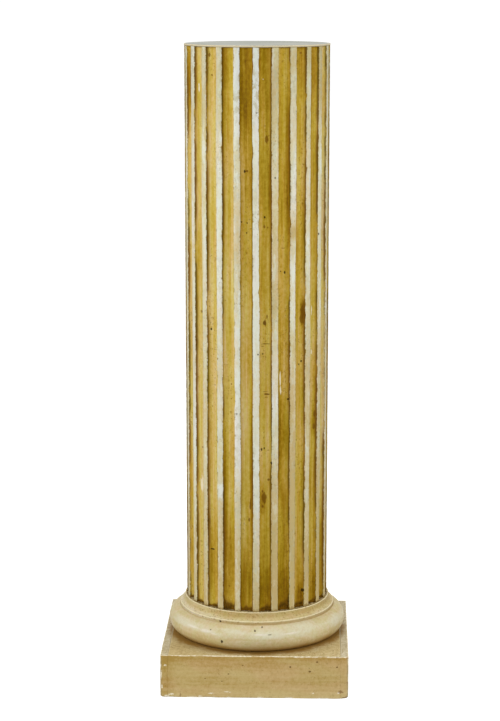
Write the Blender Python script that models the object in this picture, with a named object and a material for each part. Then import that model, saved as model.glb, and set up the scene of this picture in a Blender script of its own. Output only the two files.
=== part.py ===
"""A painted wooden column pedestal: square plinth, turned base, fluted shaft and thin top board.

Metres, +Z up. The origin is the middle of the plinth's underside, and the front looks along -Y.
"""

import math

import bmesh
import bpy

# The whole column
TOTAL_HEIGHT = 1.132
SEAT_GAP = 0.0003  # between pieces that touch or rest on each other

# Round pieces
TURNED_STEPS = 80
MERGE_DISTANCE = 0.00001
SMOOTH_UP_TO = math.radians(32)  # edges that turn more than this stay sharp

# Shaft: a straight cylinder with flutes that run its whole length
SHAFT_RADIUS = 0.1265
FLUTE_COUNT = 24
FLUTE_TURN = math.radians(0.95)  # how far the front fillet's middle is turned towards +X
FILLET_WIDTH = 0.0115  # the flat strip left between two flutes
FLUTE_DEPTH = 0.0062
FLUTE_SQUARENESS = 2.6  # 2 is an ellipse, and more gives a flatter floor with steeper sides
FILLET_STEPS = 2
FLUTE_STEPS = 12

# Top board: a thin disc that closes the shaft and covers the ends of the flutes
TOP_BOARD_THICKNESS = 0.0030
TOP_BOARD_OVERHANG = 0.0004
TOP_BOARD_EDGE = 0.0006

# Base: one turned piece with a cavetto, a fillet and a torus, from the top down
LEDGE_WIDTH = 0.0035  # flat rim around the shaft's foot
CAVETTO_PROJECTION = 0.0088
CAVETTO_HEIGHT = 0.0139
BASE_FILLET_HEIGHT = 0.0061
TORUS_PROJECTION = 0.0202  # past the base fillet
TORUS_INSET = 0.0038  # how far inside the base fillet the torus's round starts
TORUS_HEIGHT = 0.0482
CAVETTO_STEPS = 7
TORUS_STEPS = 16

# Plinth: a block with a board glued over the end grain at its left and right sides
PLINTH_HEIGHT = 0.0770
PLINTH_MARGIN = 0.0060  # past the torus, on each side
SIDE_BOARD_THICKNESS = 0.0130
PLINTH_EDGE = 0.0012

# Sizes that follow from those above
ledge_radius = SHAFT_RADIUS + LEDGE_WIDTH
base_fillet_radius = ledge_radius + CAVETTO_PROJECTION
torus_radius = base_fillet_radius + TORUS_PROJECTION
plinth_side = 2 * (torus_radius + PLINTH_MARGIN)
base_bottom = PLINTH_HEIGHT + SEAT_GAP
torus_middle = base_bottom + TORUS_HEIGHT / 2
torus_reach = TORUS_PROJECTION + TORUS_INSET
torus_start_turn = math.acos(TORUS_INSET / torus_reach)  # where the base fillet stands on the torus
base_fillet_bottom = torus_middle + TORUS_HEIGHT / 2 * math.sin(torus_start_turn)
base_fillet_top = base_fillet_bottom + BASE_FILLET_HEIGHT
base_top = base_fillet_top + CAVETTO_HEIGHT
shaft_bottom = base_top + SEAT_GAP
shaft_top = TOTAL_HEIGHT - TOP_BOARD_THICKNESS - SEAT_GAP


def clear_scene():
    for obj in list(bpy.data.objects):
        bpy.data.objects.remove(obj, do_unlink=True)


def paint(name, colour, roughness):
    material = bpy.data.materials.new(name)
    material.use_nodes = True
    shader = material.node_tree.nodes["Principled BSDF"]
    shader.inputs["Base Color"].default_value = (*colour, 1)
    shader.inputs["Roughness"].default_value = roughness
    shader.inputs["Metallic"].default_value = 0
    material.diffuse_color = (*colour, 1)
    return material


def add_object(name, mesh, *materials):
    obj = bpy.data.objects.new(name, mesh)
    bpy.context.scene.collection.objects.link(obj)
    for material in materials:
        mesh.materials.append(material)
    return obj


def add_edge_round(obj, width):
    bevel = obj.modifiers.new("edge_round", "BEVEL")
    bevel.width = width
    bevel.segments = 2
    bevel.limit_method = "ANGLE"


def smooth_shade(mesh):
    mesh.shade_smooth()
    mesh.set_sharp_from_angle(angle=SMOOTH_UP_TO)


def add_turned(name, outline, material):
    """A turned solid. The outline is (radius, height) points down its outer side, from axis to axis."""
    mesh = bpy.data.meshes.new(name)
    work = bmesh.new()
    points = [work.verts.new((radius, 0, height)) for radius, height in outline]
    edges = [work.edges.new(pair) for pair in zip(points, points[1:])]
    bmesh.ops.spin(work, geom=points + edges, axis=(0, 0, 1), angle=2 * math.pi, steps=TURNED_STEPS)
    bmesh.ops.remove_doubles(work, verts=work.verts, dist=MERGE_DISTANCE)
    bmesh.ops.recalc_face_normals(work, faces=work.faces)
    work.to_mesh(mesh)
    work.free()
    smooth_shade(mesh)
    return add_object(name, mesh, material)


def flute_depth_at(across):
    """Depth of a flute's floor, where across runs from -1 at one edge to 1 at the other."""
    return FLUTE_DEPTH * (1 - abs(across) ** FLUTE_SQUARENESS) ** (1 / FLUTE_SQUARENESS)


def shaft_outline():
    """One turn of the fluted section, as (x, y, is the next side part of a flute). A fillet faces the front."""
    pitch = 2 * math.pi / FLUTE_COUNT
    fillet_angle = FILLET_WIDTH / SHAFT_RADIUS
    flute_angle = pitch - fillet_angle
    outline = []
    for k in range(FLUTE_COUNT):
        middle = k * pitch - math.pi / 2 + FLUTE_TURN
        for i in range(FILLET_STEPS):
            angle = middle + fillet_angle * (i / FILLET_STEPS - 0.5)
            outline.append((SHAFT_RADIUS * math.cos(angle), SHAFT_RADIUS * math.sin(angle), False))
        for i in range(FLUTE_STEPS):
            # Even steps of this angle crowd the points at the flute's steep edges.
            across = -math.cos(math.pi * i / FLUTE_STEPS)
            angle = middle + fillet_angle / 2 + flute_angle * (across + 1) / 2
            radius = SHAFT_RADIUS - flute_depth_at(across)
            outline.append((radius * math.cos(angle), radius * math.sin(angle), True))
    return outline


def make_shaft(cream, ochre):
    outline = shaft_outline()
    mesh = bpy.data.meshes.new("shaft")
    work = bmesh.new()
    low = [work.verts.new((x, y, shaft_bottom)) for x, y, _ in outline]
    high = [work.verts.new((x, y, shaft_top)) for x, y, _ in outline]
    work.faces.new(list(reversed(low)))
    work.faces.new(high)
    for i, (_, _, in_flute) in enumerate(outline):
        j = (i + 1) % len(outline)
        side = work.faces.new((low[i], low[j], high[j], high[i]))
        side.material_index = 1 if in_flute else 0
    work.to_mesh(mesh)
    work.free()
    smooth_shade(mesh)
    return add_object("shaft", mesh, cream, ochre)


def make_top_board(material):
    radius = SHAFT_RADIUS + TOP_BOARD_OVERHANG
    low = TOTAL_HEIGHT - TOP_BOARD_THICKNESS
    edge = TOP_BOARD_EDGE
    outline = [
        (0, TOTAL_HEIGHT),
        (radius - edge, TOTAL_HEIGHT),
        (radius, TOTAL_HEIGHT - edge),
        (radius, low + edge),
        (radius - edge, low),
        (0, low),
    ]
    return add_turned("top_board", outline, material)


def torus_outline():
    """The torus's round side, from the foot of the base fillet down to the plinth."""
    centre = torus_radius - torus_reach
    end_turn = -math.pi / 2
    points = []
    for i in range(TORUS_STEPS + 1):
        turn = torus_start_turn + (end_turn - torus_start_turn) * i / TORUS_STEPS
        height = torus_middle + TORUS_HEIGHT / 2 * math.sin(turn)
        points.append((centre + torus_reach * math.cos(turn), height))
    return points


def make_base_moulding(material):
    outline = [(0, base_top)]
    for i in range(CAVETTO_STEPS + 1):
        turn = math.pi / 2 * i / CAVETTO_STEPS
        radius = ledge_radius + CAVETTO_PROJECTION * (1 - math.cos(turn))
        outline.append((radius, base_top - CAVETTO_HEIGHT * math.sin(turn)))
    outline += torus_outline()
    outline.append((0, base_bottom))
    return add_turned("base_moulding", outline, material)


def make_box(name, low, high, material):
    mesh = bpy.data.meshes.new(name)
    work = bmesh.new()
    bmesh.ops.create_cube(work, size=1)
    for vertex in work.verts:
        for axis in range(3):
            vertex.co[axis] = high[axis] if vertex.co[axis] > 0 else low[axis]
    work.to_mesh(mesh)
    work.free()
    obj = add_object(name, mesh, material)
    add_edge_round(obj, PLINTH_EDGE)
    return obj


def make_plinth(material):
    half = plinth_side / 2
    joint = half - SIDE_BOARD_THICKNESS
    block_half = joint - SEAT_GAP
    make_box("plinth_block", (-block_half, -half, 0), (block_half, half, PLINTH_HEIGHT), material)
    make_box("plinth_left_board", (-half, -half, 0), (-joint, half, PLINTH_HEIGHT), material)
    make_box("plinth_right_board", (joint, -half, 0), (half, half, PLINTH_HEIGHT), material)


def main():
    clear_scene()
    shaft_cream = paint("shaft_cream", (0.66, 0.60, 0.44), 0.55)
    flute_ochre = paint("flute_ochre", (0.42, 0.28, 0.05), 0.5)
    base_cream = paint("base_cream", (0.58, 0.49, 0.30), 0.5)
    plinth_cream = paint("plinth_cream", (0.46, 0.35, 0.17), 0.55)
    top_grey = paint("top_grey", (0.50, 0.49, 0.44), 0.6)
    make_plinth(plinth_cream)
    make_base_moulding(base_cream)
    make_shaft(shaft_cream, flute_ochre)
    make_top_board(top_grey)


main()
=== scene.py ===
"""Looks of a painted wooden column pedestal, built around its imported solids.

Metres, +Z up. The front looks along -Y. A mark on a round piece is placed by its azimuth, which is 0 at
the front and grows towards +X, and by its height.
"""

import math

import bpy
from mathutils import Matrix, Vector, noise


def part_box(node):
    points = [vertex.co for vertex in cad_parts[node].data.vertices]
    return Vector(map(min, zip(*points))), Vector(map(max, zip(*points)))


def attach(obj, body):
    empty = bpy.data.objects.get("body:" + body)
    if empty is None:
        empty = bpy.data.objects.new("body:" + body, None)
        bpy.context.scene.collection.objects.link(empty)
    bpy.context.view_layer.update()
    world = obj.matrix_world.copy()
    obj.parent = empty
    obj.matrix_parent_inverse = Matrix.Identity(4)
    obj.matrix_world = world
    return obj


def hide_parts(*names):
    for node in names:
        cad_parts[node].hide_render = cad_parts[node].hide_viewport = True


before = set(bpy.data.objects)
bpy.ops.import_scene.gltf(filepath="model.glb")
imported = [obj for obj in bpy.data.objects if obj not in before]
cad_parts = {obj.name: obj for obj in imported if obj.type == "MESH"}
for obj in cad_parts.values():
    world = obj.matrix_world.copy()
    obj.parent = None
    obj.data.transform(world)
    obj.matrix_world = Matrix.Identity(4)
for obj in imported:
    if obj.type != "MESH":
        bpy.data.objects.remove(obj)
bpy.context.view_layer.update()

# Camera
CAMERA_PLACE = (0.1011, -3.5977, 1.2527)
CAMERA_PITCH = 0.18685  # radians below the horizon
CAMERA_YAW = 0.03155  # radians to the left
CAMERA_LENS = 102.55
CAMERA_SENSOR = 36

# Shaft
SHAFT_RADIUS = 0.1265
FLUTE_COUNT = 24
FLUTE_TURN = math.radians(0.95)
FILLET_WIDTH = 0.0115
FLUTE_DEPTH = 0.0062
FLUTE_SQUARENESS = 2.6
FLUTE_STEPS = 10
ARRIS_ROUND = 0.0007
SHAFT_ROWS = 224
EDGE_WANDER = 0.0007  # how far a flute's edge strays over the length of the shaft
EDGE_TREMBLE = 0.0002  # how far it strays over a hand's width
FLUTE_LEAN = 0.0007  # how far the shaft's upper half is turned to the left, seen from the front
ARRIS_NICK = 0.0034  # how hard the arrises are nicked

# Base
LEDGE_WIDTH = 0.0035
CAVETTO_PROJECTION = 0.0088
CAVETTO_HEIGHT = 0.0139
BASE_FILLET_HEIGHT = 0.0061
TORUS_PROJECTION = 0.0202
TORUS_INSET = 0.0038
BASE_COLUMNS = 600
BASE_HIGHLIGHT_HEIGHT = 0.1131  # height of the painted highlight along the torus

# Plinth
EDGE_ROUND = 0.0013
PLINTH_STEP = 0.004  # between points on the flat faces

# Top board
TOP_EDGE_ROUND = 0.0008
TOP_COLUMNS = 360

# Bump in the paint
BUMP_DISTANCE = 0.0004

# Studio
WORLD_STRENGTH = 0.33
FLOOR_GLOW = 0.92
FLOOR_REACH = 150
LIGHT_AIM_HEIGHT = 0.55

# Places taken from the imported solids
shaft_low, shaft_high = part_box("shaft")
base_low, base_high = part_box("base_moulding")
torus_radius = base_high.x
_, block_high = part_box("plinth_block")
plinth_half = block_high.y
plinth_top = block_high.z
joint_x = (block_high.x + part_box("plinth_right_board")[0].x) / 2
top_low, top_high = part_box("top_board")


def colour(red, green, blue):
    """A shader colour from the 0 to 255 values of a picture."""
    linear = [((c / 255 + 0.055) / 1.055) ** 2.4 for c in (red, green, blue)]
    return (*linear, 1)


# Meshes


def rough(point, scale, seed=0.0):
    """Smooth noise from about -1 to 1 that repeats nowhere near the column."""
    return noise.noise(Vector((point[0] * scale + seed, point[1] * scale, point[2] * scale)))


def around(radius, angle, height):
    """A point at this angle, counted anticlockwise from +X."""
    return (radius * math.cos(angle), radius * math.sin(angle), height)


def make_piece(name, points, faces, layers, paint):
    """A smooth mesh piece on the root body. layers holds a number for each point under each name."""
    mesh = bpy.data.meshes.new(name)
    mesh.from_pydata(points, [], faces)
    for layer, values in layers.items():
        mesh.attributes.new(layer, "FLOAT", "POINT").data.foreach_set("value", values)
    mesh.shade_smooth()
    mesh.materials.append(paint)
    piece = bpy.data.objects.new(name, mesh)
    bpy.context.scene.collection.objects.link(piece)
    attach(piece, "root")
    return piece


def tube_faces(rows, columns):
    """Faces of a closed tube of points, given row by row upwards and anticlockwise in each row."""
    faces = []
    for row in range(rows - 1):
        for column in range(columns):
            beside = (column + 1) % columns
            low, high = row * columns, (row + 1) * columns
            faces.append((low + column, low + beside, high + beside, high + column))
    return faces


def cap_faces(centre, first, columns, upward):
    """A fan of faces from a centre point to one row of a tube."""
    faces = []
    for column in range(columns):
        beside = (column + 1) % columns
        pair = (first + column, first + beside)
        faces.append((centre, *pair) if upward else (centre, *reversed(pair)))
    return faces


def make_round_piece(name, heights, points, layers, at_centre, paint):
    """A piece with a row of points at each height. The caps' middles take at_centre in the layers."""
    columns = len(points) // len(heights)
    faces = tube_faces(len(heights), columns)
    for row, upward in ((0, False), (len(heights) - 1, True)):
        faces += cap_faces(len(points), row * columns, columns, upward)
        points.append((0, 0, heights[row]))
        for values in layers.values():
            values.append(at_centre)
    return make_piece(name, points, faces, layers, paint)


def flute_drop(across):
    """Depth below the shaft's round, where across runs from -1 to 1 over the flute."""
    floor = (1 - abs(across) ** FLUTE_SQUARENESS) ** (1 / FLUTE_SQUARENESS)
    return max(ARRIS_ROUND, FLUTE_DEPTH * floor)


def arris_drop(inside):
    """Depth below the shaft's round, this far inside a fillet from its edge."""
    short = max(0.0, 1 - inside / ARRIS_ROUND)
    return ARRIS_ROUND * (1 - math.sqrt(1 - short * short))


def wander(flute, side, height):
    """How far a flute's edge strays at this height, as the hand that cut it did, and where it is nicked."""
    lane = flute * 3.17 + side * 41.3 + 0.37
    slow = noise.noise(Vector((lane, height * 4.1, 0.7)))
    quick = noise.noise(Vector((lane, height * 24.0, 9.3)))
    nick = max(0.0, noise.noise(Vector((lane, height * 44.0, 3.9))) - 0.25)
    foot = softly((0.36 - height) / 0.10)
    nick *= 1 - 0.5 * softly((0.62 - height) / 0.20) - 0.3 * foot
    quick *= 1 - 0.5 * foot
    outward = 1 if side else -1
    lean = FLUTE_LEAN * softly((height - 0.60) / 0.20)
    return slow * EDGE_WANDER * 2 + quick * EDGE_TREMBLE * 2 + outward * nick * ARRIS_NICK - lean


def section(height):
    """Points round the shaft at this height, as (strip, side, angle, radius, distance into the flute).

    Strip k is flute k and the fillet after it. side runs from -1 to 1 across either.
    """
    pitch = 2 * math.pi / FLUTE_COUNT
    half = pitch / 2 - FILLET_WIDTH / SHAFT_RADIUS / 2
    lefts = []
    rights = []
    for k in range(FLUTE_COUNT):
        middle = (k + 0.5) * pitch - math.pi / 2 + FLUTE_TURN
        lefts.append(middle - half + wander(k, 0, height) / SHAFT_RADIUS)
        rights.append(middle + half + wander(k, 1, height) / SHAFT_RADIUS)
    points = []
    for k in range(FLUTE_COUNT):
        width = rights[k] - lefts[k]
        for i in range(FLUTE_STEPS + 1):
            across = -math.cos(math.pi * i / FLUTE_STEPS)
            drop = flute_drop(across)
            run = (1 - abs(across)) * width / 2 * SHAFT_RADIUS
            angle = lefts[k] + width * (across + 1) / 2
            points.append((k, across, angle, SHAFT_RADIUS - drop, math.hypot(run, drop)))
        after = lefts[(k + 1) % FLUTE_COUNT] + (2 * math.pi if k == FLUTE_COUNT - 1 else 0)
        fillet = (after - rights[k]) * SHAFT_RADIUS
        for inside in (ARRIS_ROUND * 0.15, ARRIS_ROUND, fillet / 2, fillet - ARRIS_ROUND,
                       fillet - ARRIS_ROUND * 0.15):
            edge = min(inside, fillet - inside)
            side = inside / fillet * 2 - 1
            angle = rights[k] + inside / SHAFT_RADIUS
            points.append((k, side, angle, SHAFT_RADIUS - arris_drop(edge), -edge))
    return points


# The paint's tone in each flute that faces the front, and on each fillet. Flute 0 is the one to the right of
# the front fillet, which is fillet 0. In a flute, -1 is brown and 1 is pale. On a fillet, -1 is beige and 1
# is white. The flutes towards the sides are paler, partly as a painted sheen.
FLUTE_TONES_AND_SHEEN = {
    -6: -0.35, -5: 0.75, -4: 0.58, -3: 0.46, -2: 0.20, -1: 0.15, 0: -0.05, 1: 0.05, 2: 0.05, 3: 0.00, 4: 0.62,
}
FILLET_TONES = {-4: 0.45, -3: 0.20, -2: 0.30, -1: 0.55, 0: 1.00, 1: -0.15, 2: 0.10, 3: 0.20, 4: 0.05}

# Where a flute's tone changes: (flute, middle across, half width across, height, half height, change)
FLUTE_WASHES = (
    (-5, -0.8, 1.0, 0.65, 0.60, -0.4),
    (-5, -0.4, 1.2, 1.08, 0.08, -1.3),
    (-4, 0.7, 0.6, 0.95, 0.20, 0.3),
    (-5, 0.0, 1.6, 0.22, 0.12, -0.3),
    (-4, 0.0, 1.6, 0.20, 0.12, 0.1),
    (-4, 0.3, 0.9, 1.09, 0.05, 0.15),
    (-3, 0.0, 1.6, 1.03, 0.12, -0.2),
    (-3, 0.0, 1.6, 0.24, 0.10, -0.4),
    (-2, -0.8, 0.9, 1.03, 0.14, -0.4),
    (-2, -0.3, 1.2, 1.11, 0.05, -0.4),
    (-2, 0.8, 0.5, 0.85, 0.35, 0.35),
    (-2, -0.9, 0.6, 0.32, 0.16, -0.9),
    (-2, 0.0, 1.6, 0.25, 0.12, -0.3),
    (-2, -0.7, 0.8, 0.18, 0.03, -0.5),
    (-1, 0.0, 1.6, 1.07, 0.14, -0.9),
    (-1, 0.0, 1.6, 0.60, 0.16, 0.25),
    (-1, 0.5, 1.2, 0.90, 0.06, -0.4),
    (-1, -0.3, 1.2, 0.42, 0.16, 0.4),
    (-1, 0.0, 1.6, 0.19, 0.06, -0.3),
    (-1, 0.85, 0.45, 0.41, 0.17, -1.2),
    (-1, 0.85, 0.45, 0.79, 0.16, -0.5),
    (0, 0.0, 1.6, 1.08, 0.09, -0.35),
    (0, 0.0, 0.7, 0.81, 0.05, -0.2),
    (0, 0.0, 1.6, 0.48, 0.20, 0.3),
    (0, -0.4, 0.6, 0.345, 0.030, -0.6),
    (0, 0.0, 1.6, 0.18, 0.05, -0.6),
    (0, 0.8, 0.45, 0.90, 0.06, -0.6),
    (0, 0.7, 0.6, 1.10, 0.05, 0.4),
    (1, 0.9, 0.6, 0.90, 0.20, -0.4),
    (1, -0.8, 0.6, 0.48, 0.14, -0.6),
    (1, 0.0, 1.6, 0.43, 0.10, -0.2),
    (1, 0.0, 1.6, 0.175, 0.05, -0.5),
    (1, 0.9, 0.5, 0.50, 0.05, 0.5),
    (1, 0.5, 0.9, 0.40, 0.05, 0.5),
    (2, 0.0, 1.6, 0.91, 0.05, 0.2),
    (2, 0.75, 0.5, 0.675, 0.026, -1.0),
    (2, -0.9, 0.7, 0.40, 0.34, 0.6),
    (2, 0.0, 1.6, 0.22, 0.08, 0.2),
    (2, 0.3, 0.9, 0.165, 0.025, -0.5),
    (2, 0.7, 0.6, 0.26, 0.08, 0.6),
    (2, -0.9, 0.5, 0.19, 0.02, 0.5),
    (2, 0.0, 1.6, 1.09, 0.06, -0.3),
    (3, -0.9, 0.6, 0.75, 0.50, 0.6),
    (3, -0.3, 1.2, 0.65, 0.22, 0.3),
    (3, 0.6, 0.7, 0.475, 0.030, -0.4),
    (3, 0.0, 1.6, 1.09, 0.09, -0.5),
    (3, -0.2, 1.2, 0.35, 0.25, 0.3),
    (3, 0.8, 0.6, 0.18, 0.05, -0.5),
    (4, 0.0, 1.6, 0.20, 0.16, -0.6),
)

# Where a fillet's tone changes: (fillet, height, half height, change)
FILLET_WASHES = (
    (-4, 0.990, 0.050, -0.4),
    (-3, 1.060, 0.100, -0.4),
    (-3, 0.800, 0.120, 0.4),
    (-2, 1.080, 0.080, -0.15),
    (-2, 0.800, 0.180, 0.5),
    (-2, 0.360, 0.014, 1.5),
    (-2, 0.230, 0.040, -0.2),
    (-1, 1.040, 0.100, 0.4),
    (-1, 0.800, 0.120, -0.3),
    (-1, 0.520, 0.160, 0.5),
    (-4, 0.500, 0.160, 0.4),
    (0, 0.155, 0.120, -0.7),
    (-1, 0.200, 0.060, -0.3),
    (1, 1.040, 0.120, -0.3),
    (1, 0.550, 0.120, 0.7),
    (1, 0.290, 0.150, -0.2),
    (2, 1.110, 0.030, -0.6),
    (2, 0.890, 0.050, 0.6),
    (2, 0.815, 0.014, -1.3),
    (2, 0.720, 0.080, 0.6),
    (2, 0.400, 0.220, -0.9),
    (2, 0.190, 0.050, -0.5),
    (3, 1.110, 0.030, -0.6),
    (3, 0.760, 0.100, 0.3),
    (3, 0.540, 0.120, -0.6),
    (3, 0.220, 0.060, -0.7),
    (4, 1.090, 0.070, -1.0),
    (4, 0.880, 0.090, 0.3),
    (4, 0.300, 0.260, -0.4),
)

# How dark the grime and painted shade are along the (left, right) edge of each flute that faces the front
EDGE_GRIME_AND_SHADE = {
    -5: (0.8, 0.1), -4: (1.1, 0.1), -3: (1.0, 0.2), -2: (0.9, 0.1), -1: (0.3, 1.0),
    0: (0.2, 1.1), 1: (0.3, 0.9), 2: (0.1, 0.8), 3: (0.1, 0.9), 4: (0.2, 0.7),
}

# How high the dirt and painted shade stand in the foot of each flute that faces the front, and how they lean
# to the right
FOOT_POOLS = {
    -5: (0.004, 0.4), -4: (0.0035, -0.3), -3: (0.0042, 0.5), -2: (0.011, -0.4), -1: (0.007, 0.1),
    0: (0.0075, 0.5), 1: (0.0105, 0.6), 2: (0.008, 0.1), 3: (0.004, 0.5), 4: (0.003, 0.2),
}


def softly(share):
    """A smooth step from 0 to 1."""
    share = min(1.0, max(0.0, share))
    return share * share * (3 - 2 * share)


def nearer_turn(strip):
    """The number of a flute or fillet counted from the front, from -12 to 11."""
    return (strip + FLUTE_COUNT // 2) % FLUTE_COUNT - FLUTE_COUNT // 2


def lane_noise(lane, height, scale):
    return noise.noise(Vector((lane * 5.31 + 0.5, height * scale, lane * 2.77 + 3.1)))


def flute_tone(k, across, height):
    near = nearer_turn(k)
    tone = FLUTE_TONES_AND_SHEEN.get(near, 0.2) + lane_noise(k, height, 2.5) * 0.3 + lane_noise(k + 60, height, 9) * 0.3
    tone -= 0.25 * softly((0.33 - height) / 0.12)
    for flute, middle, half, place, reach, change in FLUTE_WASHES:
        if flute == near:
            away = math.hypot((across - middle) / half, (height - place) / reach)
            tone += change * softly(1.25 - away)
    return tone


def fillet_tone(k, height):
    near = nearer_turn(k + 1)
    tone = FILLET_TONES.get(near, 0.2)
    tone += lane_noise(k + 30, height, 6) * 0.4 + lane_noise(k + 90, height, 22) * 0.35
    tone -= 0.60 * softly((0.42 - height) / 0.16) + 0.25 * softly((0.20 - height) / 0.04)
    for fillet, place, reach, change in FILLET_WASHES:
        if fillet == near:
            tone += change * softly(1.5 - 1.25 * abs(height - place) / reach)
    return tone


def flute_grime_and_shade(k, across, height):
    """Grime and painted shade along the flute's edges and in a pool at its foot, and a painted shadow under
    the top board. Over 1 it is solid.
    """
    near = nearer_turn(k)
    left, right = EDGE_GRIME_AND_SHADE.get(near, (0.5, 0.5))
    edge = right if across > 0 else left
    lane = k + (200 if across > 0 else 150)
    edge *= 0.9 + 0.9 * lane_noise(lane, height, 7) + 0.5 * lane_noise(lane, height, 30)
    grime_and_shade = edge * softly((abs(across) - 0.50) / 0.45)
    pool, lean = FOOT_POOLS.get(near, (0.006, 0.0))
    pool *= 1 + lean * across + 0.5 * lane_noise(k + 250, 0.4 * across, 5)
    grime_and_shade = max(grime_and_shade, 2.0 * softly((2.3 - (height - shaft_low.z) / pool) / 2))
    # A painted shadow under the top board's rim.
    return max(grime_and_shade, 0.5 * softly(1.5 - (shaft_high.z - height) / 0.003))


def shaft_heights():
    """Row heights, close together at the foot and the top and even between."""
    ends = [0.0, 0.0006, 0.0016, 0.003, 0.005, 0.0075, 0.0105, 0.014]
    low, high = shaft_low.z, shaft_high.z
    inner = SHAFT_ROWS - 2 * len(ends)
    start, stop = low + ends[-1], high - ends[-1]
    middle = [start + (stop - start) * (i + 1) / (inner + 1) for i in range(inner)]
    return [low + e for e in ends] + middle + [high - e for e in reversed(ends)]


def make_shaft(paint):
    points = []
    into_flute = []
    tone = []
    grime_and_shade = []
    heights = shaft_heights()
    for height in heights:
        for k, across, angle, radius, inside in section(height):
            at = around(radius, angle, height)
            hollow = min(1.0, max(0.0, inside / 0.004))
            radius += rough(at, 16) * 0.0002 + rough(at, 70, 5.1) * (0.00008 + 0.00022 * hollow)
            points.append(around(radius, angle, height))
            into_flute.append(inside)
            tone.append(flute_tone(k, across, height) if inside > 0 else fillet_tone(k, height))
            grime_and_shade.append(flute_grime_and_shade(k, across, height) if inside > 0 else 0.0)
    layers = {"into_flute": into_flute, "tone": tone, "grime_and_shade": grime_and_shade}
    piece = make_round_piece("fluted_shaft", heights, points, layers, 0.0, paint)
    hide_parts("shaft")


def arc(centre_radius, centre_height, reach, rise, start, end, steps):
    """Points (radius, height) along an ellipse, from one turn to another, in radians."""
    made = []
    for i in range(steps + 1):
        turn = start + (end - start) * i / steps
        made.append((centre_radius + reach * math.cos(turn), centre_height + rise * math.sin(turn)))
    return made


def base_profile():
    """(radius, height) down the base's outer side, and the heights of its arrises and grooves."""
    quarter = math.pi / 2
    a = ARRIS_ROUND
    ledge = SHAFT_RADIUS + LEDGE_WIDTH
    fillet = ledge + CAVETTO_PROJECTION
    reach = TORUS_PROJECTION + TORUS_INSET
    centre = torus_radius - reach
    start = math.acos(TORUS_INSET / reach)
    top = base_high.z
    shelf = top - CAVETTO_HEIGHT
    joint = shelf - BASE_FILLET_HEIGHT
    half = (joint - base_low.z) / (1 + math.sin(start))
    middle = base_low.z + half
    profile = [(r * ledge, top) for r in (0.5, 0.85, 0.93, 0.97)]
    profile += arc(ledge - a, top - a, a, a, quarter, 0, 4)
    profile += arc(fillet, top - a, CAVETTO_PROJECTION, CAVETTO_HEIGHT - a, math.pi, 1.5 * math.pi, 12)[1:-1]
    profile += arc(fillet - a, shelf - a, a, a, quarter, 0, 4)
    profile += [(fillet, shelf - a - (BASE_FILLET_HEIGHT - a) * share) for share in (0.25, 0.5, 0.75, 0.93)]
    profile += arc(centre, middle, reach, half, start - 0.02, -quarter, 52)
    profile += [(centre * share, base_low.z) for share in (0.97, 0.9, 0.5)]
    arrises = [(ledge, top), (fillet, shelf)]
    grooves = [(fillet, joint), (centre + 0.003, base_low.z)]
    return profile, arrises, grooves


def nearest(place, others):
    return min(math.dist(place, other) for other in others)


def make_base(paint):
    profile, arrises, grooves = base_profile()
    profile.reverse()
    points = []
    edge = []
    groove = []
    for radius, height in profile:
        to_edge = nearest((radius, height), arrises)
        to_groove = nearest((radius, height), grooves)
        for column in range(BASE_COLUMNS):
            angle = 2 * math.pi * column / BASE_COLUMNS
            at = around(radius, angle, height)
            worn = max(0.0, 1 - to_edge / 0.002) * (0.4 + 0.6 * rough(at, 45, 3.3)) * 0.0004
            out = radius + rough(at, 12) * 0.00025 + rough(at, 60, 8.2) * 0.0001 - max(0.0, worn)
            points.append(around(out, angle, height))
            edge.append(to_edge)
            groove.append(to_groove)
    heights = [height for _, height in profile]
    far = 0.1  # from every edge and groove
    piece = make_round_piece("turned_base", heights, points, {"edge": edge, "groove": groove}, far, paint)
    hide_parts("base_moulding")


def make_top(paint):
    """The thin board on the shaft: a disc with a soft edge."""
    radius, low, high = top_high.x, top_low.z, top_high.z
    soft = TOP_EDGE_ROUND
    profile = [(radius * share, low) for share in (0.5, 0.95)]
    profile += arc(radius - soft, low + soft, soft, soft, -math.pi / 2, 0, 4)
    profile += arc(radius - soft, high - soft, soft, soft, 0, math.pi / 2, 5)
    inward = (0.985, 0.96, 0.92, 0.87, 0.8, 0.7, 0.6, 0.48, 0.36, 0.24, 0.12)
    profile += [(radius * share, high) for share in inward]
    points = []
    edge = []
    for r, height in profile:
        for column in range(TOP_COLUMNS):
            angle = 2 * math.pi * column / TOP_COLUMNS
            out = r + rough(around(r, angle, height), 30, 2.2) * 0.0002
            points.append(around(out, angle, height))
            edge.append(radius - r + high - height)
    heights = [height for _, height in profile]
    piece = make_round_piece("round_top", heights, points, {"edge": edge}, radius, paint)
    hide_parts("top_board")


# Each chip on the plinth is (place, how far it reaches, how much deeper the edge is rounded there).
CHIPS = (
    ((0.165, -0.165, 0.0), 0.022, 0.0045),
    ((-0.165, -0.165, 0.0), 0.012, 0.0030),
    ((0.165, -0.165, 0.077), 0.009, 0.0022),
    ((0.083, -0.165, 0.077), 0.006, 0.0016),
    ((0.150, -0.165, 0.077), 0.005, 0.0012),
    ((-0.083, -0.165, 0.0), 0.014, 0.0018),
    ((-0.148, -0.165, 0.0), 0.012, 0.0016),
    ((0.02, 0.165, 0.077), 0.010, 0.0020),
    ((-0.165, 0.04, 0.0), 0.016, 0.0024),
    ((0.165, -0.05, 0.077), 0.007, 0.0016),
)


def edge_round(point):
    """How much the plinth's edge is rounded near this point: hand-worn all along, and chipped in places."""
    radius = EDGE_ROUND * (1 + 0.35 * rough(point, 14, 1.7) + 0.15 * rough(point, 95, 6.4))
    for place, reach, depth in CHIPS:
        near = max(0.0, 1 - math.dist(point, place) / reach)
        radius += depth * near * near * (3 - 2 * near) * (1 + 0.5 * rough(point, 260, 4.9))
    return max(0.0004, radius)


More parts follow.
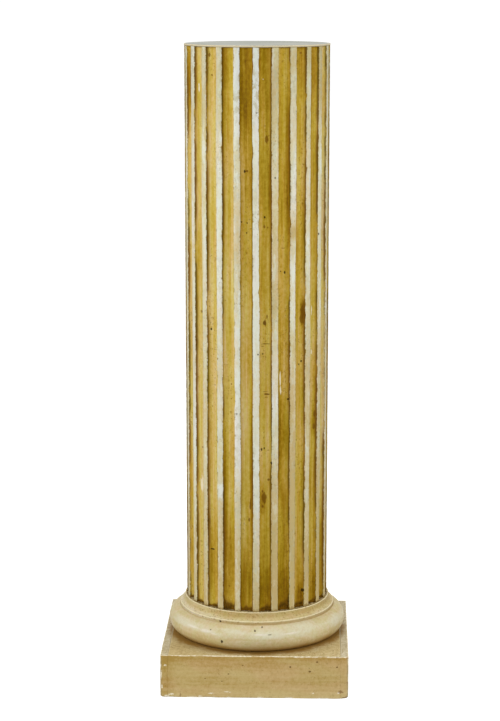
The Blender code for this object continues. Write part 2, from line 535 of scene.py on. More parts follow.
def spread(low, high):
    """Coordinates from low to high, close together at both ends."""
    ends = [0.0, 0.0004, 0.0009, 0.0015, 0.0023, 0.0033, 0.0048, 0.007, 0.010]
    if high - low < 4 * ends[-1]:
        ends = ends[:-3]
    start, stop = low + ends[-1], high - ends[-1]
    count = max(1, round((stop - start) / PLINTH_STEP))
    middle = [start + (stop - start) * i / count for i in range(1, count)]
    return [low + e for e in ends] + middle + [high - e for e in reversed(ends)]


def rounded(point, low, high, radii):
    """The point of a box moved onto the box's rounded edges and corners. Each axis has its own radius."""
    inner = [min(max(p, a + r), b - r) for p, a, b, r in zip(point, low, high, radii)]
    away = [(p - i) / r for p, i, r in zip(point, inner, radii)]
    length = math.sqrt(sum(a * a for a in away))
    return [i + r * a / length for i, r, a in zip(inner, radii, away)]


def make_plinth_piece(name, node, joint_sides, paint):
    """A worn box in place of a node. joint_sides are the signs of X on which it meets another piece."""
    low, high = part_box(node)
    if 1 in joint_sides:
        high.x = joint_x * math.copysign(1, high.x)
    if -1 in joint_sides:
        low.x = joint_x * math.copysign(1, low.x)
    lines = [spread(low[i], high[i]) for i in range(3)]
    counts = [len(line) for line in lines]
    index = {}
    points = []
    edge = []

    def corner(i, j, k):
        if (i, j, k) not in index:
            point = (lines[0][i], lines[1][j], lines[2][k])
            at_joint = (1 if i * 2 > counts[0] else -1) in joint_sides
            radius = edge_round(point)
            radii = (1e-5 if at_joint else radius, radius, radius)
            moved = rounded(point, low, high, radii)
            gaps = [min(point[1] - low.y, high.y - point[1]), min(point[2] - low.z, high.z - point[2])]
            gaps += [] if -1 in joint_sides else [point[0] - low.x]
            gaps += [] if 1 in joint_sides else [high.x - point[0]]
            index[i, j, k] = len(points)
            points.append(moved)
            edge.append(sorted(gaps)[1])
        return index[i, j, k]

    faces = []
    for axis in range(3):
        u, v = (axis + 1) % 3, (axis + 2) % 3
        for end in (0, counts[axis] - 1):
            for a in range(counts[u] - 1):
                for b in range(counts[v] - 1):
                    ring = []
                    for da, db in ((0, 0), (1, 0), (1, 1), (0, 1)):
                        at = [0, 0, 0]
                        at[axis], at[u], at[v] = end, a + da, b + db
                        ring.append(corner(*at))
                    faces.append(ring if end else ring[::-1])
    piece = make_piece(name, points, faces, {"edge": edge}, paint)
    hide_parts(node)


def make_plinth(paint):
    make_plinth_piece("worn_block", "plinth_block", (-1, 1), paint)
    make_plinth_piece("worn_left_board", "plinth_left_board", (1,), paint)
    make_plinth_piece("worn_right_board", "plinth_right_board", (-1,), paint)


# Materials


class Paint:
    """A material's nodes, with a short method for each kind that the paints use."""

    def __init__(self, name):
        self.material = bpy.data.materials.new(name)
        self.material.use_nodes = True
        self.tree = self.material.node_tree
        self.shader = self.tree.nodes["Principled BSDF"]
        self.place = self.add("ShaderNodeTexCoord").outputs["Object"]
        split = self.add("ShaderNodeSeparateXYZ", self.place)
        self.x, _, self.height = split.outputs

    def add(self, kind, *feeds, **settings):
        made = self.tree.nodes.new(kind)
        for name, value in settings.items():
            setattr(made, name, value)
        for socket, value in zip(made.inputs, feeds):
            self.feed(socket, value)
        return made

    def feed(self, socket, value):
        if isinstance(value, bpy.types.NodeSocket):
            self.tree.links.new(value, socket)
        else:
            socket.default_value = value

    def layer(self, name):
        return self.add("ShaderNodeAttribute", attribute_name=name).outputs["Fac"]

    def sum(self, operation, *values):
        return self.add("ShaderNodeMath", *values, operation=operation).outputs[0]

    def fade(self, value, start, end, low=0.0, high=1.0):
        """low up to start, high from end on, and smooth between."""
        made = self.add("ShaderNodeMapRange", value, start, end, low, high, interpolation_type="SMOOTHSTEP")
        return made.outputs[0]

    def noise(self, scale, seed, detail=3, grit=0.5, stretch=(1, 1, 1)):
        """Noise from 0 to 1. A stretch under 1 draws it out along that axis, and more grit makes it finer."""
        shifted = self.add("ShaderNodeMapping", self.place)
        shifted.inputs["Scale"].default_value = stretch
        shifted.inputs["Location"].default_value = (seed, seed * 1.7, seed * 0.6)
        made = self.add("ShaderNodeTexNoise")
        self.feed(made.inputs["Vector"], shifted.outputs[0])
        made.inputs["Scale"].default_value = scale
        made.inputs["Detail"].default_value = detail
        made.inputs["Roughness"].default_value = grit
        return made.outputs[0]

    def times(self, first, second):
        return self.sum("MULTIPLY", first, second)

    def plus(self, base, amount, value):
        """base, with this amount of the value added."""
        return self.sum("MULTIPLY_ADD", value, amount, base)

    def relief(self, *parts):
        """The sum of the parts. Each is (amount, value)."""
        total = self.times(parts[0][1], parts[0][0])
        for amount, value in parts[1:]:
            total = self.plus(total, amount, value)
        return total

    def sway(self, base, *parts):
        """base, moved up and down by noises that run from 0 to 1. Each part is (amount, noise)."""
        for amount, value in parts:
            base = self.plus(base, amount, self.sum("SUBTRACT", value, 0.5))
        return base

    def on_cylinder(self, radius):
        """The place, moved straight out or in to this radius from the column's axis."""
        flat = self.add("ShaderNodeVectorMath", self.place, (1, 1, 0), operation="MULTIPLY").outputs[0]
        outward = self.add("ShaderNodeVectorMath", flat, operation="NORMALIZE").outputs[0]
        lift = self.add("ShaderNodeVectorMath", self.place, (0, 0, 1), operation="MULTIPLY").outputs[0]
        made = self.add("ShaderNodeVectorMath", outward, (radius, radius, 0), lift, operation="MULTIPLY_ADD")
        return made.outputs[0]

    def mix(self, share, first, second, blend_type="MIX"):
        made = self.add("ShaderNodeMix", data_type="RGBA", blend_type=blend_type)
        self.feed(made.inputs[0], share)
        self.feed(made.inputs[6], first)
        self.feed(made.inputs[7], second)
        return made.outputs[2]

    def cover(self, tone, strength, share, shade):
        """The tone under a shade, which is this strong where the share is 1."""
        return self.mix(self.times(share, strength), tone, shade)

    def tinted(self, tone, share, first, second):
        """The tone, multiplied by a tint between two others."""
        return self.mix(1.0, tone, self.mix(share, first, second), "MULTIPLY")

    def ramp(self, value, *stops):
        """The colour at this value among (value, colour) stops, which run from -1 to 1."""
        made = self.add("ShaderNodeValToRGB")
        self.feed(made.inputs[0], self.sum("MULTIPLY_ADD", value, 0.5, 0.5))
        marks = made.color_ramp.elements
        while len(marks) < len(stops):
            marks.new(1.0)
        for mark, (at, _) in zip(marks, stops):
            mark.position = at * 0.5 + 0.5
        for mark, (_, shade) in zip(marks, stops):
            mark.color = shade
        return made.outputs[0]

    def blend(self, share, first, second):
        """A plain number between two others."""
        made = self.add("ShaderNodeMix", data_type="FLOAT")
        self.feed(made.inputs[0], share)
        self.feed(made.inputs[2], first)
        self.feed(made.inputs[3], second)
        return made.outputs[0]

    def spots(self, where, places, edge_noise, torn=1.2, solid=0.65, gone=1.15):
        """1 inside any of the spots and 0 outside. Each is (centre, half width, half height)."""
        nearest_spot = None
        for centre, across, up in places:
            scale = (1 / across, 1 / across, 1 / up)
            offset = tuple(-c * s for c, s in zip(centre, scale))
            moved = self.add("ShaderNodeVectorMath", where, scale, offset, operation="MULTIPLY_ADD")
            away = self.add("ShaderNodeVectorMath", moved.outputs[0], operation="LENGTH").outputs["Value"]
            nearest_spot = away if nearest_spot is None else self.sum("MINIMUM", nearest_spot, away)
        return self.fade(self.sway(nearest_spot, (torn, edge_noise)), solid, gone, 1.0, 0.0)

    def finish(self, base_colour, roughness, bump, bump_distance, gloss):
        self.feed(self.shader.inputs["Base Color"], base_colour)
        self.feed(self.shader.inputs["Roughness"], roughness)
        self.shader.inputs["Metallic"].default_value = 0
        self.shader.inputs["IOR"].default_value = 1.45
        self.shader.inputs["Specular IOR Level"].default_value = gloss
        raised = self.add("ShaderNodeBump")
        raised.inputs["Strength"].default_value = 1
        raised.inputs["Distance"].default_value = bump_distance
        self.feed(raised.inputs["Height"], bump)
        self.feed(self.shader.inputs["Normal"], raised.outputs[0])
        return self.material


def on_round(radius, azimuth, height):
    """A place on a round piece, from its azimuth in degrees and its height."""
    turn = math.radians(azimuth)
    return (radius * math.sin(turn), -radius * math.cos(turn), height)


# Marks on the shaft: (azimuth in degrees, then height, half width and half height in millimetres)
SHAFT_PITS = (
    (-8.4, 921, 1.4, 2.2),
    (15.6, 910, 1, 1.4),
    (7.8, 843, 1.3, 1.6),
    (24.8, 747, 1.4, 2),
    (21.2, 749, 0.8, 1),
    (2.4, 606.5, 1, 1.3),
    (6.4, 606.5, 1, 1.2),
    (40.8, 589, 1.4, 1.6),
    (38.8, 584, 1, 1.4),
    (27.6, 525, 1.4, 1.4),
    (-14.4, 501, 0.9, 1),
    (7.6, 440, 1, 1.8),
    (5.4, 438, 1.2, 2.2),
    (13.2, 414, 1.1, 1.8),
    (-33.2, 818, 1.2, 2),
    (-39.2, 645, 1.4, 1.8),
    (-32.4, 650, 1, 1),
    (-38.4, 250.5, 3.4, 1.2),
    (59, 808, 1.6, 1.8),
    (42.4, 175.5, 1.6, 2.6),
    (-10.8, 835, 0.9, 1),
    (-6.4, 833, 0.9, 0.9),
    (-6.8, 816, 0.8, 1.2),
    (34, 1022, 1.2, 1.2),
    (1.4, 1020, 0.9, 0.9),
)
SHAFT_STAINS = (
    (9.2, 975, 2.6, 6),
    (-6.4, 921.5, 2.4, 2.2),
    (39.2, 1119, 3, 2),
    (-38, 1082, 2.2, 2.4),
    (-40.2, 1115, 1.8, 3),
    (7.6, 826, 2, 3.2),
    (10.2, 825, 1.6, 2.4),
    (8.2, 660, 2.6, 6.4),
    (9.8, 672, 1.2, 3.4),
    (8.9, 624, 7, 0.6),
    (-20, 552, 1.2, 1.2),
    (-20.4, 540, 1.2, 1),
    (-20, 526, 1.2, 1),
    (-33, 538, 1.8, 3.6),
    (9.4, 536, 5, 2.2),
    (-49.6, 431, 5, 1.2),
    (57.4, 490, 2.4, 8),
    (56.6, 467, 2.6, 5),
    (6.2, 363, 1.8, 3),
    (9, 352, 2, 4.4),
    (8, 345, 2.2, 4),
    (6.2, 336, 2.2, 3.4),
    (7.4, 350, 3.6, 10),
    (-3.6, 340, 2, 9),
    (-4.6, 312, 2.2, 3.8),
    (42, 674.5, 6, 22),
    (-64.8, 810, 8, 22),
    (-50, 673, 5, 3.4),
    (11.2, 384, 2.6, 2),
)
SHAFT_CRACKS = (
    (8.9, 624, 8, 0.6),
    (6, 620, 2.2, 0.6),
    (8.6, 540, 5, 0.5),
    (9.6, 535, 5, 0.5),
    (9.2, 530, 3, 0.5),
    (8, 660, 3, 3),
    (-38.4, 250.5, 4, 0.8),
)
SHAFT_SCUFFS = (
    (-52.2, 362, 6.4, 12),
    (-53.6, 1062, 2.2, 7),
    (21, 562, 1.6, 12),
    (21.4, 540, 1.6, 8),
    (53.6, 675, 1.6, 10),
    (53.6, 602, 2.2, 4),
    (6.4, 1076, 1, 1.2),
)


def round_spots(paint, radius, marks, edge_noise, torn=1.2, solid=0.65, gone=1.15):
    places = []
    for azimuth, *sizes in marks:
        height, across, up = (size / 1000 for size in sizes)
        places.append((on_round(radius, azimuth, height), across, up))
    return paint.spots(paint.on_cylinder(radius), places, edge_noise, torn, solid, gone)


def shaft_material():
    paint = Paint("shaft_paint")
    inside = paint.layer("into_flute")
    tone = paint.layer("tone")
    grime_and_shade = paint.layer("grime_and_shade")
    ragged = paint.noise(150, 1.0, stretch=(1, 1, 0.5))
    fine = paint.noise(520, 2.0, detail=2, stretch=(1, 1, 0.6))
    streak = paint.noise(150, 4.0, detail=4, stretch=(1, 1, 0.03))
    cloud = paint.noise(34, 6.0, detail=4, stretch=(1, 1, 0.25))
    patches = paint.noise(64, 8.0, detail=4, grit=0.6, stretch=(1.5, 1.5, 0.28))
    mottle = paint.noise(190, 9.0, detail=4, grit=0.75, stretch=(1, 1, 0.7))
    hue = paint.noise(130, 11.0, stretch=(1, 1, 0.06))
    pepper = paint.noise(300, 13.0, grit=0.6, stretch=(1, 1, 0.8))
    grain = paint.noise(330, 17.0, grit=0.6, stretch=(1, 1, 0.03))
    to_paint = paint.plus(paint.plus(inside, 0.0050, ragged), 0.0050, pepper)
    in_flute = paint.fade(to_paint, 0.0052, 0.0055)

    # Ochre in the flutes, brushed along them, more olive in one brush mark and more tan in the next
    depth = paint.sway(tone, (1.2, streak), (1.2, grain), (0.7, cloud), (1.3, mottle))
    ochre = paint.ramp(
        depth,
        (-1.0, colour(118, 82, 2)),
        (-0.5, colour(153, 118, 12)),
        (0.0, colour(184, 151, 51)),
        (0.5, colour(203, 175, 98)),
        (1.0, colour(216, 197, 146)),
    )
    ochre = paint.tinted(ochre, paint.fade(hue, 0.38, 0.62), (0.95, 1.0, 0.72, 1), (1.0, 0.965, 1.0, 1))
    specks = paint.times(paint.fade(pepper, 0.58, 0.66, 0.0, 0.7), paint.fade(cloud, 0.45, 0.60))
    ochre = paint.mix(specks, ochre, colour(124, 88, 12))

    # Grime and painted shade darken the paint towards a flute's edge, gather in a thin line along it, and
    # pool at its foot.
    ochre = paint.mix(paint.fade(grime_and_shade, 0.10, 1.0, 0.0, 0.50), ochre, colour(146, 106, 14))
    line = paint.fade(paint.plus(inside, 0.0034, ragged), 0.0044, 0.0064, 1.0, 0.0)
    line = paint.times(line, paint.fade(paint.sway(grime_and_shade, (0.9, mottle)), 0.35, 0.85, 0.0, 0.80))
    pool = paint.fade(paint.sway(grime_and_shade, (1.2, ragged), (1.6, mottle)), 0.70, 1.80, 0.0, 0.95)
    grime_and_shade_tone = paint.mix(paint.fade(hue, 0.42, 0.58), colour(82, 70, 10), colour(110, 74, 26))
    deep = paint.mix(paint.fade(mottle, 0.38, 0.60), colour(66, 44, 2), colour(112, 76, 8))
    ochre = paint.mix(line, ochre, grime_and_shade_tone)
    ochre = paint.mix(pool, ochre, deep)

    # Cream on the fillets, flaked to white in places and yellowed in others
    age = paint.sway(tone, (1.5, patches), (0.6, cloud), (2.5, mottle))
    flaked = paint.fade(paint.sway(patches, (0.35, ragged)), 0.575, 0.595, -0.06, 0.34)
    age = paint.sum("ADD", age, flaked)
    fillet = paint.ramp(
        age,
        (-1.0, colour(193, 172, 118)),
        (-0.3, colour(206, 190, 146)),
        (0.3, colour(215, 207, 176)),
        (1.0, colour(223, 223, 210)),
    )
    fillet = paint.tinted(fillet, paint.fade(hue, 0.35, 0.65), (0.97, 1.0, 0.96, 1), (1.0, 0.975, 1.0, 1))
    # Painted shade: the fillets darken towards the top.
    high = paint.fade(paint.height, 0.95, 1.08)
    fillet = paint.mix(high, fillet, paint.mix(1.0, fillet, (0.90, 0.94, 0.98, 1), "MULTIPLY"))
    dull = paint.fade(paint.sway(0.5, (0.8, ragged), (0.9, mottle)), 0.48, 0.56)
    dull = paint.times(dull, paint.fade(cloud, 0.40, 0.56, 0.0, 0.75))
    dull = paint.times(dull, paint.blend(high, 0.45, 1.0))
    fillet = paint.mix(dull, fillet, colour(178, 171, 134))
    worn = paint.times(paint.fade(pepper, 0.59, 0.65, 0.0, 0.7), paint.fade(cloud, 0.50, 0.60))
    fillet = paint.mix(worn, fillet, colour(170, 150, 100))
    foot = paint.sway(paint.height, (0.016, pepper))
    foot = paint.fade(foot, base_high.z + 0.001, base_high.z + 0.006, 0.8, 0.0)
    fillet = paint.mix(foot, fillet, colour(146, 122, 72))

    pits = round_spots(paint, SHAFT_RADIUS, SHAFT_PITS, fine, 1.2, 0.90, 1.40)
    stains = round_spots(paint, SHAFT_RADIUS, SHAFT_STAINS, ragged, 2.4)
    scuffs = round_spots(paint, SHAFT_RADIUS, SHAFT_SCUFFS, ragged, 2.4)
    cracks = round_spots(paint, SHAFT_RADIUS, SHAFT_CRACKS, ragged, 1.0, 0.85, 1.35)
    ochre = paint.cover(ochre, 0.8, stains, colour(112, 74, 4))
    ochre = paint.cover(ochre, 0.85, scuffs, colour(230, 220, 192))
    both = paint.mix(in_flute, fillet, ochre)
    rim = paint.sum("ABSOLUTE", paint.sum("SUBTRACT", to_paint, 0.0056))
    rim = paint.fade(rim, 0.0004, 0.0013, 0.65, 0.0)
    rim = paint.times(rim, paint.fade(mottle, 0.36, 0.54, 0.3, 1.0))
    both = paint.mix(rim, both, colour(118, 96, 38))
    both = paint.cover(both, 0.7, cracks, colour(96, 66, 8))
    both = paint.cover(both, 0.92, pits, colour(48, 30, 2))

    roughness = paint.blend(in_flute, 0.60, paint.fade(streak, 0.3, 0.7, 0.58, 0.46))
    height = paint.relief((0.35, streak), (0.25, fine), (0.4, ragged), (0.3, flaked), (-1.0, pits))
    return paint.finish(both, roughness, height, BUMP_DISTANCE, 0.04)


# Marks on the base, in the same form
BASE_PITS = (
    (-21.2, 97.4, 2.4, 3),
    (0.4, 118.7, 1.4, 1.5),
    (5.3, 123.4, 1.4, 1.1),
    (9.8, 112.5, 3.6, 0.6),
    (-30, 114.5, 1.4, 0.8),
)
BASE_FILLET_PITS = (
    (-26, 127.3, 2.4, 1.8),
)

# Where the base's torus carries a painted highlight, and where a brighter painted glint, in the same form
BASE_HIGHLIGHTS = (
    (34, 116.3, 40, 12),
    (10, 112.6, 36, 10.5),
    (-52, 114, 46, 6.8),
    (-33, 111.2, 14, 3.6),
    (-12, 116.3, 24, 4.8),
    (66, 112.6, 26, 8.8),
)
BASE_GLINTS = (
    (-33, 111.2, 17, 3),
    (-27, 109, 8, 1.8),
    (-45, 112.4, 15, 2.2),
    (4, 113.1, 14, 1.6),
    (24, 112.1, 16, 1.6),
)


def base_material():
    paint = Paint("base_paint")
    edge = paint.layer("edge")
    groove = paint.layer("groove")
    ragged = paint.noise(140, 1.0)
    fine = paint.noise(520, 2.0, detail=2)
    cloud = paint.noise(26, 3.0, detail=4, stretch=(1, 1, 1.6))
    wide = paint.noise(7, 5.0, detail=2, stretch=(1, 1, 2.5))
    mottle = paint.noise(190, 9.0, detail=4, grit=0.75)
    pepper = paint.noise(300, 13.0, grit=0.6)
    brushed = paint.noise(110, 7.0, stretch=(0.12, 0.12, 1.6))
    hue = paint.noise(80, 11.0)
    age = paint.sway(0.0, (0.9, cloud), (1.6, mottle), (1.0, brushed))

    # The crown of the torus carries a painted highlight, and its underside goes brown, partly patina and
    # partly painted shade.
    low = paint.sway(paint.height, (0.008, cloud))
    off_crown = paint.sum("ABSOLUTE", paint.sum("SUBTRACT", low, BASE_HIGHLIGHT_HEIGHT))
    crown_highlight = paint.fade(off_crown, 0.001, 0.0085, 0.30, 0.0)
    age = paint.sum("ADD", age, paint.times(crown_highlight, paint.fade(wide, 0.35, 0.6, 0.4, 1.0)))
    to_right = paint.fade(paint.x, -0.100, -0.020)
    cavetto = paint.fade(paint.height, 0.1263, 0.1278)
    age = paint.plus(age, -0.50, paint.times(cavetto, to_right))
    hollow = paint.fade(paint.height, 0.1388, 0.1303, -0.45, 0.45)
    age = paint.plus(age, hollow, cavetto)
    # Painted shade and patina: darker below the torus's widest part.
    age = paint.sum("SUBTRACT", age, paint.fade(low, 0.108, 0.094, 0.0, 0.35))
    tone = paint.ramp(
        age,
        (-1.0, colour(180, 155, 98)),
        (-0.3, colour(198, 179, 130)),
        (0.3, colour(209, 196, 160)),
        (1.0, colour(222, 217, 198)),
    )
    tone = paint.tinted(tone, paint.fade(hue, 0.38, 0.62), (0.965, 1.0, 0.95, 1), (1.0, 0.975, 1.0, 1))
    # Painted highlights on the torus, with brighter painted glints in them.
    wear_and_highlight = round_spots(paint, torus_radius, BASE_HIGHLIGHTS, cloud, 1.6, 0.2, 1.35)
    wear_and_highlight = paint.times(wear_and_highlight, paint.fade(mottle, 0.30, 0.60, 0.45, 0.85))
    tone = paint.mix(wear_and_highlight, tone, colour(211, 206, 178))
    glint = round_spots(paint, torus_radius, BASE_GLINTS, brushed, 2.4, 0.2, 1.25)
    tone = paint.cover(tone, 0.75, glint, colour(225, 216, 198))
    # Painted shade and patina: brown under the torus.
    tone = paint.mix(paint.fade(low, 0.096, 0.081, 0.0, 0.75), tone, colour(156, 116, 38))
    speck = paint.fade(pepper, 0.56, 0.64, 0.0, 0.75)
    speckled = paint.times(cavetto, paint.fade(wide, 0.40, 0.58, 0.25, 1.0))
    speck = paint.times(speck, paint.plus(0.15, 0.85, speckled))
    tone = paint.mix(speck, tone, colour(142, 116, 64))
    # Dirt and painted shade: the fillet's face under the arris and the paint beside the grooves go brown,
    # more towards the right.
    near_groove = paint.plus(groove, 0.002, ragged)
    dirt_and_shade = paint.blend(to_right, 0.45, 0.75)
    joint = base_high.z - CAVETTO_HEIGHT - BASE_FILLET_HEIGHT
    face = paint.fade(paint.height, joint + 0.0032, joint + 0.0046, 0.75, 0.0)
    face = paint.times(face, paint.fade(paint.height, joint - 0.0004, joint + 0.0003))
    near = paint.sum("MAXIMUM", face, paint.fade(near_groove, 0.0014, 0.0030, 1.0, 0.0))
    tone = paint.mix(paint.times(near, dirt_and_shade), tone, colour(152, 122, 66))
    # A painted shadow in the groove where the torus meets the plinth.
    contact_shadow = paint.fade(near_groove, 0.0025, 0.0045, 0.9, 0.0)
    contact_shadow = paint.times(contact_shadow, paint.fade(low, 0.100, 0.092))
    tone = paint.mix(contact_shadow, tone, colour(84, 52, 4))
    # A painted highlight along the arrises.
    arris_highlight = paint.fade(paint.plus(edge, 0.0012, ragged), 0.0012, 0.0022, 0.85, 0.0)
    tone = paint.mix(arris_highlight, tone, colour(230, 219, 180))
    ledge = paint.fade(paint.height, base_high.z - 0.0007, base_high.z - 0.0002)
    dusty = paint.mix(paint.fade(pepper, 0.38, 0.56), colour(206, 190, 146), colour(122, 98, 50))
    tone = paint.mix(paint.times(ledge, paint.fade(edge, 0.0012, 0.0024)), tone, dusty)
    pits = round_spots(paint, torus_radius, BASE_PITS, fine)
    fillet_radius = SHAFT_RADIUS + LEDGE_WIDTH + CAVETTO_PROJECTION
    pits = paint.sum("MAXIMUM", pits, round_spots(paint, fillet_radius, BASE_FILLET_PITS, fine))
    tone = paint.cover(tone, 0.94, pits, colour(48, 32, 6))
    height = paint.relief((0.4, ragged), (0.2, fine), (0.3, brushed), (-1.0, pits))
    return paint.finish(tone, paint.fade(ragged, 0.3, 0.7, 0.44, 0.56), height, BUMP_DISTANCE, 0.06)


# Marks on the plinth's front: (x, height, half width, half height), all in millimetres
PLINTH_PITS = (
    (97.4, 49.6, 2.4, 1.8),
    (96.4, 56, 1, 1),
    (63.4, 57.9, 1.8, 1.8),
    (110.1, 67.3, 1.8, 1.6),
    (145.3, 58.1, 1.8, 1.5),
    (-56.4, 30.5, 1.2, 1.2),
    (-44.7, 43.9, 1.6, 1),
    (-86, 35, 1.4, 1),
    (-20, 60, 1.8, 0.8),
)
PLINTH_SCARS = (
    (164, 30, 3.4, 1),
    (160, 2.6, 6, 1.2),
    (163.6, 75.2, 2.6, 1.4),
    (146, 75.6, 3, 1),
    (-130, 4, 1.2, 4),
    (152, 13, 5, 3),
)
PLINTH_CHIPS = (
    (-156.2, 58.8, 3, 1.4),
    (-48, 11.3, 5.5, 0.9),
    (-43, 10.4, 3, 0.6),
    (103.4, 10, 1.8, 1.4),
    (-94.5, 2.2, 4, 1.6),
    (-76, 8, 5, 1),
    (-146, 6, 5, 1.8),
    (-154, 3, 6, 1.6),
    (-162, 20, 1.6, 4),
    (-163, 42, 1.2, 6),
    (10, 1.8, 6, 1),
    (62, 1.6, 7, 0.9),
    (-110, 1.6, 8, 1),
    (148, 11, 2, 1.8),
)


def front_spots(paint, marks, edge_noise, torn=1.2):
    places = []
    for mark in marks:
        x, height, across, up = (size / 1000 for size in mark)
        places.append(((x, -plinth_half, height), across, up))
    return paint.spots(paint.place, places, edge_noise, torn)


def plinth_material():
    paint = Paint("plinth_paint")
    edge = paint.layer("edge")
    ragged = paint.noise(130, 1.0)
    fine = paint.noise(480, 2.0, detail=2)
    brushed = paint.noise(60, 3.0, detail=4, stretch=(0.10, 0.10, 1))
    hairs = paint.noise(230, 15.0, grit=0.6, stretch=(0.05, 0.05, 1))
    cloud = paint.noise(12, 4.0, detail=4, stretch=(1, 1, 2))
    wear = paint.noise(30, 6.0)
    hue = paint.noise(24, 11.0, stretch=(0.5, 0.5, 1.5))
    mottle = paint.noise(190, 9.0, detail=4, grit=0.75)
    pepper = paint.noise(300, 13.0, grit=0.6)

    # The sides are buff and brushed level, and a little darker towards the left board.
    age = paint.sway(0.0, (1.4, cloud), (1.4, brushed), (1.2, hairs), (2.2, mottle))
    age = paint.sum("ADD", age, paint.fade(paint.height, 0.028, 0.008, 0.0, 0.45))
    age = paint.sum("SUBTRACT", age, paint.fade(paint.height, 0.050, 0.070, 0.0, 0.35))
    age = paint.sum("SUBTRACT", age, paint.fade(paint.height, 0.067, 0.073, 0.0, 0.45))
    age = paint.sum("SUBTRACT", age, paint.fade(paint.x, -0.130, -0.158, 0.0, 0.75))
    side = paint.ramp(
        age,
        (-1.0, colour(178, 145, 76)),
        (0.0, colour(200, 172, 115)),
        (1.0, colour(214, 190, 138)),
    )
    side = paint.tinted(side, paint.fade(hue, 0.38, 0.62), (0.97, 1.0, 0.93, 1), (1.0, 0.97, 0.97, 1))
    side = paint.mix(paint.fade(pepper, 0.60, 0.68, 0.0, 0.35), side, colour(150, 120, 62))
    # The front is greyer along its two upright edges.
    grey_side_edges = paint.sum("ABSOLUTE", paint.sway(paint.x, (0.003, ragged)))
    grey_side_edges = paint.fade(grey_side_edges, plinth_half - 0.0034, plinth_half - 0.0010, 0.0, 0.7)
    off_middle = paint.sum("ABSOLUTE", paint.x)
    on_front = paint.fade(off_middle, plinth_half - 0.0007, plinth_half - 0.0001, 1.0, 0.0)
    grey_side_edges = paint.times(grey_side_edges, on_front)
    side = paint.mix(grey_side_edges, side, colour(164, 150, 112))

    # The top is paler and mottled, grey on the two boards, and brown round the torus, a painted shadow with
    # grime in it.
    flat_age = paint.sway(0.0, (1.4, cloud), (3.0, mottle))
    flat = paint.ramp(
        flat_age,
        (-1.0, colour(166, 138, 82)),
        (0.0, colour(198, 178, 128)),
        (1.0, colour(216, 204, 166)),
    )
    on_board = paint.fade(off_middle, joint_x - 0.0004, joint_x + 0.0004, 0.0, 0.75)
    weathered = paint.ramp(
        flat_age,
        (-0.8, colour(150, 134, 98)),
        (0.0, colour(198, 188, 158)),
        (0.8, colour(222, 216, 196)),
    )
    flat = paint.mix(on_board, flat, weathered)
    speck = paint.times(paint.fade(pepper, 0.54, 0.62, 0.0, 0.8), paint.fade(wear, 0.40, 0.55))
    flat = paint.mix(speck, flat, colour(150, 124, 72))
    away = paint.add("ShaderNodeVectorMath", paint.place, (1, 1, 0), operation="MULTIPLY").outputs[0]
    away = paint.add("ShaderNodeVectorMath", away, operation="LENGTH").outputs["Value"]
    # Painted shadow and grime in a brown ring round the foot of the torus.
    ring = paint.sum("SUBTRACT", paint.sway(away, (0.016, ragged)), torus_radius)
    ring = paint.sway(ring, (0.030, wear))
    flat = paint.mix(paint.fade(ring, -0.010, 0.010, 0.88, 0.0), flat, colour(146, 106, 36))
    seam = paint.sum("ABSOLUTE", paint.sum("SUBTRACT", off_middle, joint_x))
    open_seam = paint.fade(seam, 0.0003, 0.0007, 0.7, 0.0)
    seam = paint.fade(paint.sway(seam, (0.0010, ragged)), 0.0008, 0.0015, 0.70, 0.0)
    flat = paint.mix(seam, flat, colour(220, 208, 172))
    flat = paint.mix(open_seam, flat, colour(120, 98, 56))
    on_top = paint.fade(paint.height, plinth_top - 0.0009, plinth_top - 0.0003)
    tone = paint.mix(on_top, side, flat)

    # Every edge is rubbed to the gesso: the top edges all along, and the rest in patches.
    spared = paint.fade(paint.height, 0.050, 0.066, 1.0, 0.35)
    spared = paint.times(spared, paint.fade(wear, 0.62, 0.42))
    to_edge = paint.plus(edge, 0.0022, spared)
    to_edge = paint.sway(to_edge, (0.0036, ragged))
    wear_and_highlight = paint.fade(to_edge, 0.0012, 0.0019, 0.90, 0.0)
    gesso = paint.mix(paint.fade(mottle, 0.38, 0.60), colour(218, 202, 160), colour(240, 234, 212))
    tone = paint.mix(wear_and_highlight, tone, gesso)
    pits = front_spots(paint, PLINTH_PITS, fine)
    chips = front_spots(paint, PLINTH_CHIPS, fine, 2.4)
    tone = paint.cover(tone, 0.92, chips, colour(240, 229, 198))
    scars = front_spots(paint, PLINTH_SCARS, fine, 2.4)
    tone = paint.cover(tone, 0.6, scars, colour(128, 84, 40))
    tone = paint.cover(tone, 0.8, pits, colour(96, 66, 16))
    height = paint.relief((0.4, brushed), (0.25, fine), (-0.5, wear_and_highlight), (-1.0, pits))
    return paint.finish(tone, paint.fade(ragged, 0.3, 0.7, 0.48, 0.60), height, BUMP_DISTANCE, 0.06)


def top_material():
    paint = Paint("top_paint")
    edge = paint.layer("edge")
    ragged = paint.noise(90, 1.0, detail=4)
    cloud = paint.noise(14, 2.0, detail=4)
    tone = paint.mix(paint.fade(cloud, 0.35, 0.65), colour(190, 192, 182), colour(202, 203, 194))
    tone = paint.mix(paint.fade(ragged, 0.52, 0.75, 0.0, 0.4), tone, colour(208, 205, 188))
    rim = paint.fade(paint.plus(edge, 0.0016, ragged), 0.0018, 0.0034, 0.9, 0.0)
    tone = paint.mix(rim, tone, colour(214, 200, 164))
    below = paint.fade(paint.height, top_high.z - 0.0020, top_high.z - 0.0012, 0.6, 0.0)
    tone = paint.mix(below, tone, colour(178, 156, 104))
    return paint.finish(tone, 0.8, ragged, 0.0003, 0.0)


# Studio


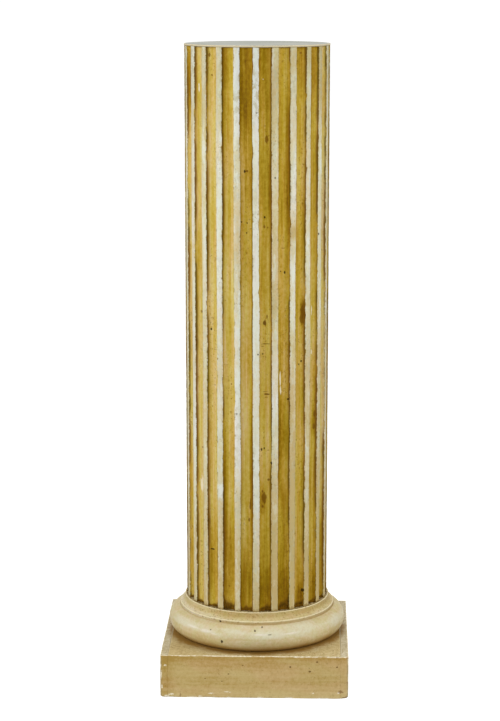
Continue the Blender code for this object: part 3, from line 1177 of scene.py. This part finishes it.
def add_area_light(name, azimuth, height, distance, size, tall, power):
    """A soft rectangular light that faces the middle of the column."""
    lamp = bpy.data.lights.new(name, "AREA")
    lamp.shape = "RECTANGLE"
    lamp.size = size
    lamp.size_y = tall
    lamp.energy = power
    light = bpy.data.objects.new(name, lamp)
    turn = math.radians(azimuth)
    light.location = (distance * math.sin(turn), -distance * math.cos(turn), height)
    aim = Vector((0, 0, LIGHT_AIM_HEIGHT)) - light.location
    light.rotation_euler = aim.to_track_quat("-Z", "Y").to_euler()
    bpy.context.scene.collection.objects.link(light)


def make_studio():
    add_area_light("key_light", -12, 1.6, 3.2, 2.0, 1.6, 64)
    add_area_light("left_light", -82, 1.3, 2.4, 1.2, 2.2, 25)
    add_area_light("right_light", 82, 1.3, 2.4, 1.2, 2.2, 34)
    add_area_light("back_light", 180, 2.2, 2.6, 2.0, 1.6, 30)
    add_area_light("top_light", 0, 3.4, 0.01, 2.0, 2.0, 12)

    world = bpy.data.worlds.new("studio")
    world.use_nodes = True
    world.node_tree.nodes["Background"].inputs["Color"].default_value = (1, 1, 1, 1)
    world.node_tree.nodes["Background"].inputs["Strength"].default_value = WORLD_STRENGTH
    bpy.context.scene.world = world
    bpy.context.scene.view_settings.view_transform = "Standard"

    mesh = bpy.data.meshes.new("floor")
    corners = [(x * FLOOR_REACH, y * FLOOR_REACH, 0) for x, y in ((-1, -1), (1, -1), (1, 1), (-1, 1))]
    mesh.from_pydata(corners, [], [(0, 1, 2, 3)])
    floor = bpy.data.objects.new("floor", mesh)
    floor.visible_diffuse = False
    bpy.context.scene.collection.objects.link(floor)
    white = bpy.data.materials.new("white_floor")
    white.use_nodes = True
    shader = white.node_tree.nodes["Principled BSDF"]
    shader.inputs["Base Color"].default_value = (0.35, 0.35, 0.35, 1)
    shader.inputs["Roughness"].default_value = 1
    shader.inputs["Specular IOR Level"].default_value = 0
    shader.inputs["Emission Color"].default_value = (1, 1, 1, 1)
    shader.inputs["Emission Strength"].default_value = FLOOR_GLOW
    mesh.materials.append(white)


def make_camera():
    camera = bpy.data.objects.new("camera", bpy.data.cameras.new("camera"))
    camera.data.lens = CAMERA_LENS
    camera.data.sensor_width = CAMERA_SENSOR
    camera.data.clip_end = 200
    camera.location = CAMERA_PLACE
    camera.rotation_euler = (math.pi / 2 - CAMERA_PITCH, 0, CAMERA_YAW)
    bpy.context.scene.collection.objects.link(camera)
    bpy.context.scene.camera = camera


make_camera()
make_studio()
make_plinth(plinth_material())
make_base(base_material())
make_shaft(shaft_material())
make_top(top_material())
